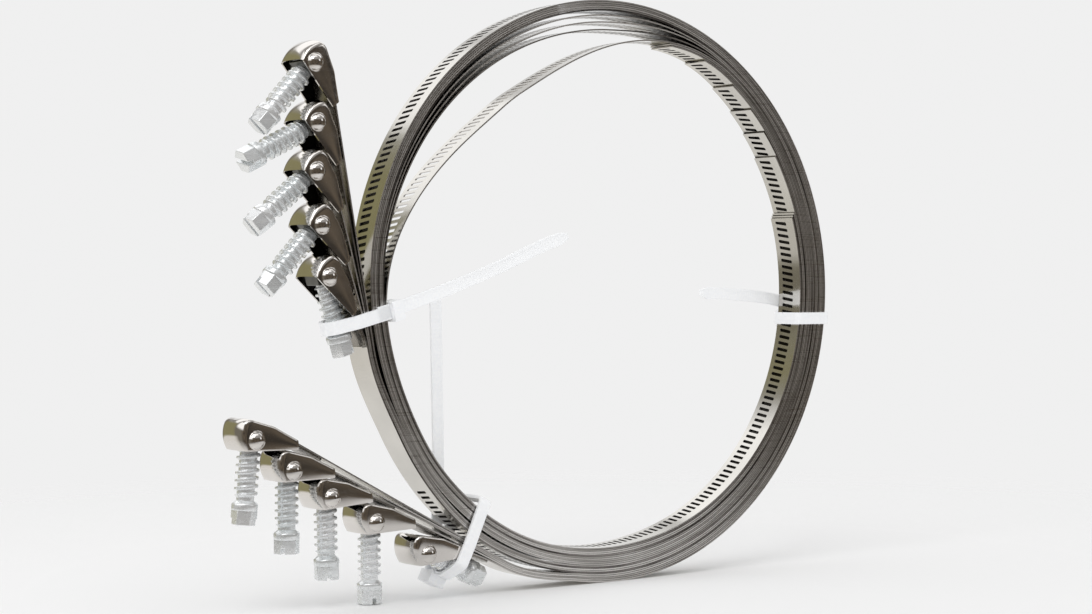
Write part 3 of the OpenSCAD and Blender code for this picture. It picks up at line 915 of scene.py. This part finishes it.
for name in NAMES:
    finished(hood(name), "hood_" + name, "coil")
    cap = domes(name)
    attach(cap, "coil")

# %% [markdown]
# ## The saddles
# A saddle is a thin plate on the band under the screw. Its round tongue shows beyond the
# housing's narrow end.

# %% Saddles
SADDLE_W, SADDLE_T = 11.4, 0.5
ACROSS = np.linspace(-1, 1, 7)
SADDLE_FRONT, SADDLE_BACK, TONGUE_R = -12.0, 9.0, 3.0


def saddle(name):
    """Plate on the lead, its half width cut to two quarter circles at the tongue."""
    reach = CLAMPS[name][2]
    tongue = TONGUE_R * (1 - np.cos(np.radians(np.linspace(8, 90, 10))))
    x = SADDLE_FRONT + np.concatenate([tongue, np.linspace(3.6, SADDLE_BACK - SADDLE_FRONT, 22)])
    cut = np.clip(TONGUE_R - (x - SADDLE_FRONT), 0, TONGUE_R)
    half = SADDLE_W / 2 - TONGUE_R + np.sqrt(TONGUE_R ** 2 - cut ** 2)
    points, normals = lead(name, np.minimum(reach + x, reach))
    origin, along, normal = seat(name)
    beyond = np.maximum(x, 0)[:, None] * along
    points, normals = points + beyond, np.where(x[:, None] > 0, normal, normals)
    y = half[:, None] * ACROSS
    grid = np.stack([points[:, :1] + 0 * y, y, points[:, 1:] + 0 * y], -1)
    lift = np.stack([normals[:, 0], 0 * x, normals[:, 1]], -1)[:, None, :] * SADDLE_T
    shell = slab(Shell(), grid + 0.02 * lift, lift * 0.98)
    return rounded(build("saddle_" + name, shell, [SADDLE], 35), 0.12, 2, 40)


for name in NAMES:
    finished(saddle(name), "saddle_" + name, "coil")

# %% [markdown]
# ## The screws and their swivels
# A screw turns in a block, and the block's two pins turn in the housing's domes, so the screw
# swings open. The thread is one surface: its radius depends on the height less the turned
# angle, so the ridge climbs as a true helix.

# %% Screw dimensions
AXIS_DROP = 1.5
BLOCK_LEN, BLOCK_W, BLOCK_TOP, BLOCK_BOTTOM = 5.0, 8.8, 3.2, -4.1
JOURNAL_R, PIN_R, CLEARANCE = 1.7, 2.45, 0.05
CORE_R, THREAD_R, COLLAR_R = 3.1, 4.15, 4.6
THREAD_FROM, THREAD_TO, THREAD_STEPS = 3.6, 19.8, 56
# Distances from a ridge's middle line, along the screw, where its flank starts and ends
RIDGE = (0.32, 0.78)
COLLAR_Z, HEX_Z, HEX_LEN, HEX_AF = 21.2, 24.5, 5.0, 7.94
DRIVER_W, DRIVER_D = 1.5, 2.2


def screw_frame(name):
    """Pivot, direction along the screw, direction away from the band and the pins' direction."""
    _, ax, ay, az = housing_frame(name)
    b = np.radians(CLAMPS[name][5])
    return pivot_of(name), np.sin(b) * az - np.cos(b) * ax, np.sin(b) * ax + np.cos(b) * az, ay


def thread(shell, origin, axis, across):
    """Core radius plus a ridge of height h(frac(z / pitch - angle / turn)), faded at its ends."""
    z = np.concatenate([[BLOCK_LEN / 2 + CLEARANCE] * 2, np.arange(2.9, COLLAR_Z, 0.1), [COLLAR_Z] * 2])
    turns = (z[:, None] - THREAD_FROM) / SLOT_PITCH - np.arange(THREAD_STEPS) / THREAD_STEPS
    ridge = 1 - ease(*RIDGE, np.abs(np.mod(turns + 0.5, 1) - 0.5) * SLOT_PITCH)
    start = ease(THREAD_FROM - 0.4, THREAD_FROM + 0.9, z)
    end = 1 - ease(THREAD_TO - 0.9, THREAD_TO + 0.4, z)
    radius = CORE_R + (THREAD_R - CORE_R) * ridge * (start * end)[:, None]
    radius[[0, -1]] = 0
    revolve(shell, radius, z, origin, axis, across, THREAD_STEPS)


def hexagon(shell, origin, axis, across):
    """Hexagon with a driver slot, from its outline's ten points at three heights."""
    third = np.cross(axis, across)
    apothem, w = HEX_AF / 2, DRIVER_W / 2
    corner = apothem / np.cos(np.radians(30))
    six = corner * turned(np.arange(6) * 60)
    # The slot runs along x and leaves the hexagon through its two corners on x
    cut = corner - w * np.tan(np.radians(30))
    upper = np.array([[cut, w], six[1], six[2], [-cut, w]])
    top, bottom, slot_floor = HEX_Z + HEX_LEN, HEX_Z - 0.3, HEX_Z + HEX_LEN - DRIVER_D

    def at(points, height):
        points = np.asarray(points)
        return origin + height * axis + points[:, :1] * across + points[:, 1:] * third

    lower = -upper
    full = np.array([six[0], upper[0], six[1], six[2], upper[3], six[3], lower[0], six[4], six[5], lower[3]])
    points = np.concatenate([at(full, bottom), at(full, slot_floor), at(full, top)])
    sides = np.array([[a + 10, a + 11, a + 21, a + 20] for a in (1, 2, 3, 6, 7, 8)])
    slot_walls = np.array([[14, 24, 21, 11], [19, 29, 26, 16]])
    slot_bottom = np.array([[10, 11, 14, 15], [10, 15, 16, 19]])
    crowns = np.array([[21, 22, 23, 24], [26, 27, 28, 29]])
    foot = np.arange(9, -1, -1)[None]
    shell.add(points, [wall(np.arange(10), 10), sides, slot_walls, slot_bottom, crowns, foot])


def screw(name):
    """A screw's thread, back end, journal and collar as one piece, and its hexagon as another."""
    pivot, axis, out, _ = screw_frame(name)
    origin = pivot - AXIS_DROP * out
    shell = Shell()
    thread(shell, origin, axis, out)
    back = -BLOCK_LEN / 2 - CLEARANCE
    rivet = [[0, back - 0.8], [1.8, back - 0.8], [2.2, back - 0.55], [2.3, back], [0, back]]
    lathe(shell, rivet, origin, axis, out)
    journal = [[0, back - 0.1], [JOURNAL_R, back - 0.1], [JOURNAL_R, 2.7], [0, 2.7]]
    lathe(shell, journal, origin, axis, out, 32)
    r, z = COLLAR_R, COLLAR_Z
    collar = [[0, z - 0.2], [CORE_R, z - 0.2], [CORE_R + 0.25, z], [r - 0.35, z + 0.75],
              [r - 0.08, z + 1.0], [r, z + 1.4], [r, HEX_Z - 0.5], [r - 0.1, HEX_Z - 0.15],
              [r - 0.4, HEX_Z], [0, HEX_Z]]
    lathe(shell, collar, origin, axis, out)
    made = build("screw_" + name, shell, [ZINC])
    head = Shell()
    spin = np.radians(CLAMPS[name][7])
    hexagon(head, origin, axis, np.cos(spin) * out + np.sin(spin) * np.cross(axis, out))
    cap = rounded(build("screw_head_" + name, head, [ZINC]), 0.28, 3, 30)
    made.data.set_sharp_from_angle(angle=np.radians(50))
    return made, cap


def rounded_box(shell, origin, axes, low, high):
    """Box between two corners in a frame of three axes."""
    spans = [(low[k], high[k]) for k in range(3)]
    corners = np.array([[x, y, z] for x in spans[0] for y in spans[1] for z in spans[2]])
    points = origin + corners @ np.asarray(axes)
    faces = np.array([[0, 1, 3, 2], [4, 6, 7, 5], [0, 4, 5, 1], [2, 3, 7, 6], [0, 2, 6, 4], [1, 5, 7, 3]])
    return shell.add(points, faces)


def swivel(name):
    """A swivel's block and its two pins."""
    pivot, axis, out, pins = screw_frame(name)
    shell = Shell()
    rounded_box(shell, pivot, (out, pins, axis), (BLOCK_BOTTOM, -BLOCK_W / 2, -BLOCK_LEN / 2),
                (BLOCK_TOP, BLOCK_W / 2, BLOCK_LEN / 2))
    reach = HOOD_W / 2 + 0.6
    lathe(shell, [[0, -reach], [PIN_R, -reach], [PIN_R, reach], [0, reach]], pivot, pins, axis, 40)
    return rounded(build("swivel_" + name, shell, [SWIVEL]), 0.5, 3, 40)


for name in NAMES:
    made, cap = screw(name)
    finished(made, "screw_" + name, "screw_" + name)
    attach(cap, "screw_" + name)
    finished(swivel(name), "swivel_" + name, "swivel_" + name)

# %% [markdown]
# ## The cable ties
# A tie's strap is a closed outline round the bundle with round bends. Its lock is a small
# rounded box, and its tail runs on flat with fine teeth along its middle.

# %% Tie dimensions
TIE_W, TIE_T, TIE_BEND, TAIL_T = 4.8, 1.2, 0.8, 1.0
LOCK = (4.4, 7.4, 7.2)
# Pitch and depth of a tail's teeth, and the length over which its tip narrows
TEETH_PITCH, TEETH_DEPTH, TIP_LEN = 1.2, 0.07, 4
# A tie's place (distance along a clamp's lead, or a point), its turn, half the outline of what
# it holds, the lowest corner of its lock box, and the depth and line of its tail
TIES = {
    "tie_left": dict(
        clamp="u5", offset=10.7, turn=194.5, half=[(-10.6, 5.75), (2.1, 5.75), (9.9, 3), (11.2, 1.2)],
        lock=(-15.9, -9.6), side=-7.15,
        tail=[(-108, 103.9), (-100.9, 105.8), (-80.8, 111.9), (-57.5, 120), (-37.5, 128), (-27.5, 131.4)]),
    "tie_right": dict(
        at=(104, 100.2), turn=0, half=[(-7.1, 5.75), (6.8, 5.75)], lock=(-3.7, 7), side=7.15,
        tail=[(107, 101.2), (102.5, 104.9), (97.8, 107.3), (85, 109.2), (72, 110.1), (58.8, 110.7)]),
    "tie_lower": dict(
        clamp="l5", offset=19.2, turn=EXIT[1],
        half=[(-17.6, 5.8), (-0.9, 7.2), (6, 7.2), (9.3, 3), (10.6, 1.2)],
        lock=(11.5, 2), side=8.5, tail=[(-75.3, 9), (-73, 22), (-72, 46), (-72.5, 78), (-73.2, 108)])}


def smooth_line(points, step):
    """Points at even steps on a Catmull-Rom curve through the given ones."""
    p = np.asarray(points, float)
    p = np.concatenate([[2 * p[0] - p[1]], p, [2 * p[-1] - p[-2]]])
    t = np.linspace(0, 1, 24, endpoint=False)[:, None]
    parts = []
    for a, b, c, d in zip(p[:-3], p[1:-2], p[2:-1], p[3:]):
        square, cube = 2 * a - 5 * b + 4 * c - d, 3 * b - a - 3 * c + d
        parts.append(0.5 * ((2 * b) + (c - a) * t + square * t ** 2 + cube * t ** 3))
    line = np.concatenate(parts + [p[-2:-1]])
    length = np.concatenate([[0], np.cumsum(np.linalg.norm(np.diff(line, axis=0), axis=1))])
    at = np.linspace(0, length[-1], int(length[-1] / step) + 1)
    return np.stack([np.interp(at, length, line[:, k]) for k in (0, 1)], -1), at


def strap_outline(half, grow):
    """Closed outline round the bundle, every corner an arc of radius grow."""
    path = np.array(half + [(a, -b) for a, b in half[::-1]], float)
    before, after = path - np.roll(path, 1, 0), np.roll(path, -1, 0) - path
    first = np.degrees(np.arctan2(before[:, 1], before[:, 0])) + 90
    turn = np.mod(np.degrees(np.arctan2(after[:, 1], after[:, 0])) + 90 - first + 540, 360) - 180
    angle = first[:, None] + turn[:, None] * np.linspace(0, 1, 9)
    return (path[:, None] + grow * turned(angle)).reshape(-1, 2)


def strap(shell, origin, out, tangent, half):
    """Closed ring of four faces: the outline at its inner and outer radius, on both sides."""
    inner, outer = strap_outline(half, TIE_BEND), strap_outline(half, TIE_BEND + TIE_T)
    rings = [(inner, -1), (outer, -1), (outer, 1), (inner, 1)]
    points = np.array([origin + ring[:, :1] * out + ring[:, 1:] * Y_AXIS + side * TIE_W / 2 * tangent
                       for ring, side in rings + rings[:1]])
    shell.add(points, grid_faces(5, points.shape[1], wrap=True))


def tail(shell, line, side):
    """Flat strip along the tail's line with teeth along its middle and a narrowed tip."""
    points, at = smooth_line(line, 0.3)
    tip = points[-1] - points[-2]
    tip = tip / np.linalg.norm(tip)
    ahead = np.linspace(0.3, TIP_LEN, 12)
    points = np.concatenate([points, points[-1] + ahead[:, None] * tip])
    at = np.concatenate([at, at[-1] + ahead])
    along = np.gradient(points, axis=0)
    along /= np.linalg.norm(along, axis=1, keepdims=True)
    across = np.stack([-along[:, 1], along[:, 0]], -1)
    half = TIE_W / 2 * (1 - 0.5 * np.clip((at - at[-1] + TIP_LEN) / TIP_LEN, 0, 1))
    rows = np.array([-1, -0.68, -0.66, 0, 0.66, 0.68, 1])
    teeth = TEETH_DEPTH * np.abs(np.mod(at / TEETH_PITCH, 1) - 0.5) * 2
    dip = np.where(np.abs(rows) < 0.67, 1, 0) * teeth[:, None]
    x = points[:, :1] + rows * half[:, None] * across[:, :1]
    z = points[:, 1:] + rows * half[:, None] * across[:, 1:]
    face = side - TAIL_T / 2 + dip
    grid = np.stack([x, face, z], -1)
    depth = np.zeros_like(grid)
    depth[..., 1] = TAIL_T - dip
    slab(shell, grid, depth)


def tie(name, facts):
    """A cable tie: its strap, tail and lock box."""
    middle = facts.get("at")
    if middle is None:
        landing, away, _ = line_of(facts["clamp"])
        middle = landing + facts["offset"] * away
    origin, out, tangent = space(middle), space(turned(facts["turn"])), space(turned(facts["turn"] + 90))
    body = Shell()
    strap(body, origin, out, tangent, facts["half"])
    tail(body, facts["tail"], facts["side"])
    low = np.array([*facts["lock"], -LOCK[2] / 2])
    size = np.array([LOCK[1], LOCK[0], LOCK[2]] if name == "tie_right" else LOCK)
    rounded_box(body, origin, (out, Y_AXIS, tangent), low, low + size)
    return rounded(build(name, body, [NYLON]), 0.25, 3, 40)


for name, facts in TIES.items():
    finished(tie(name, facts), name, "coil")
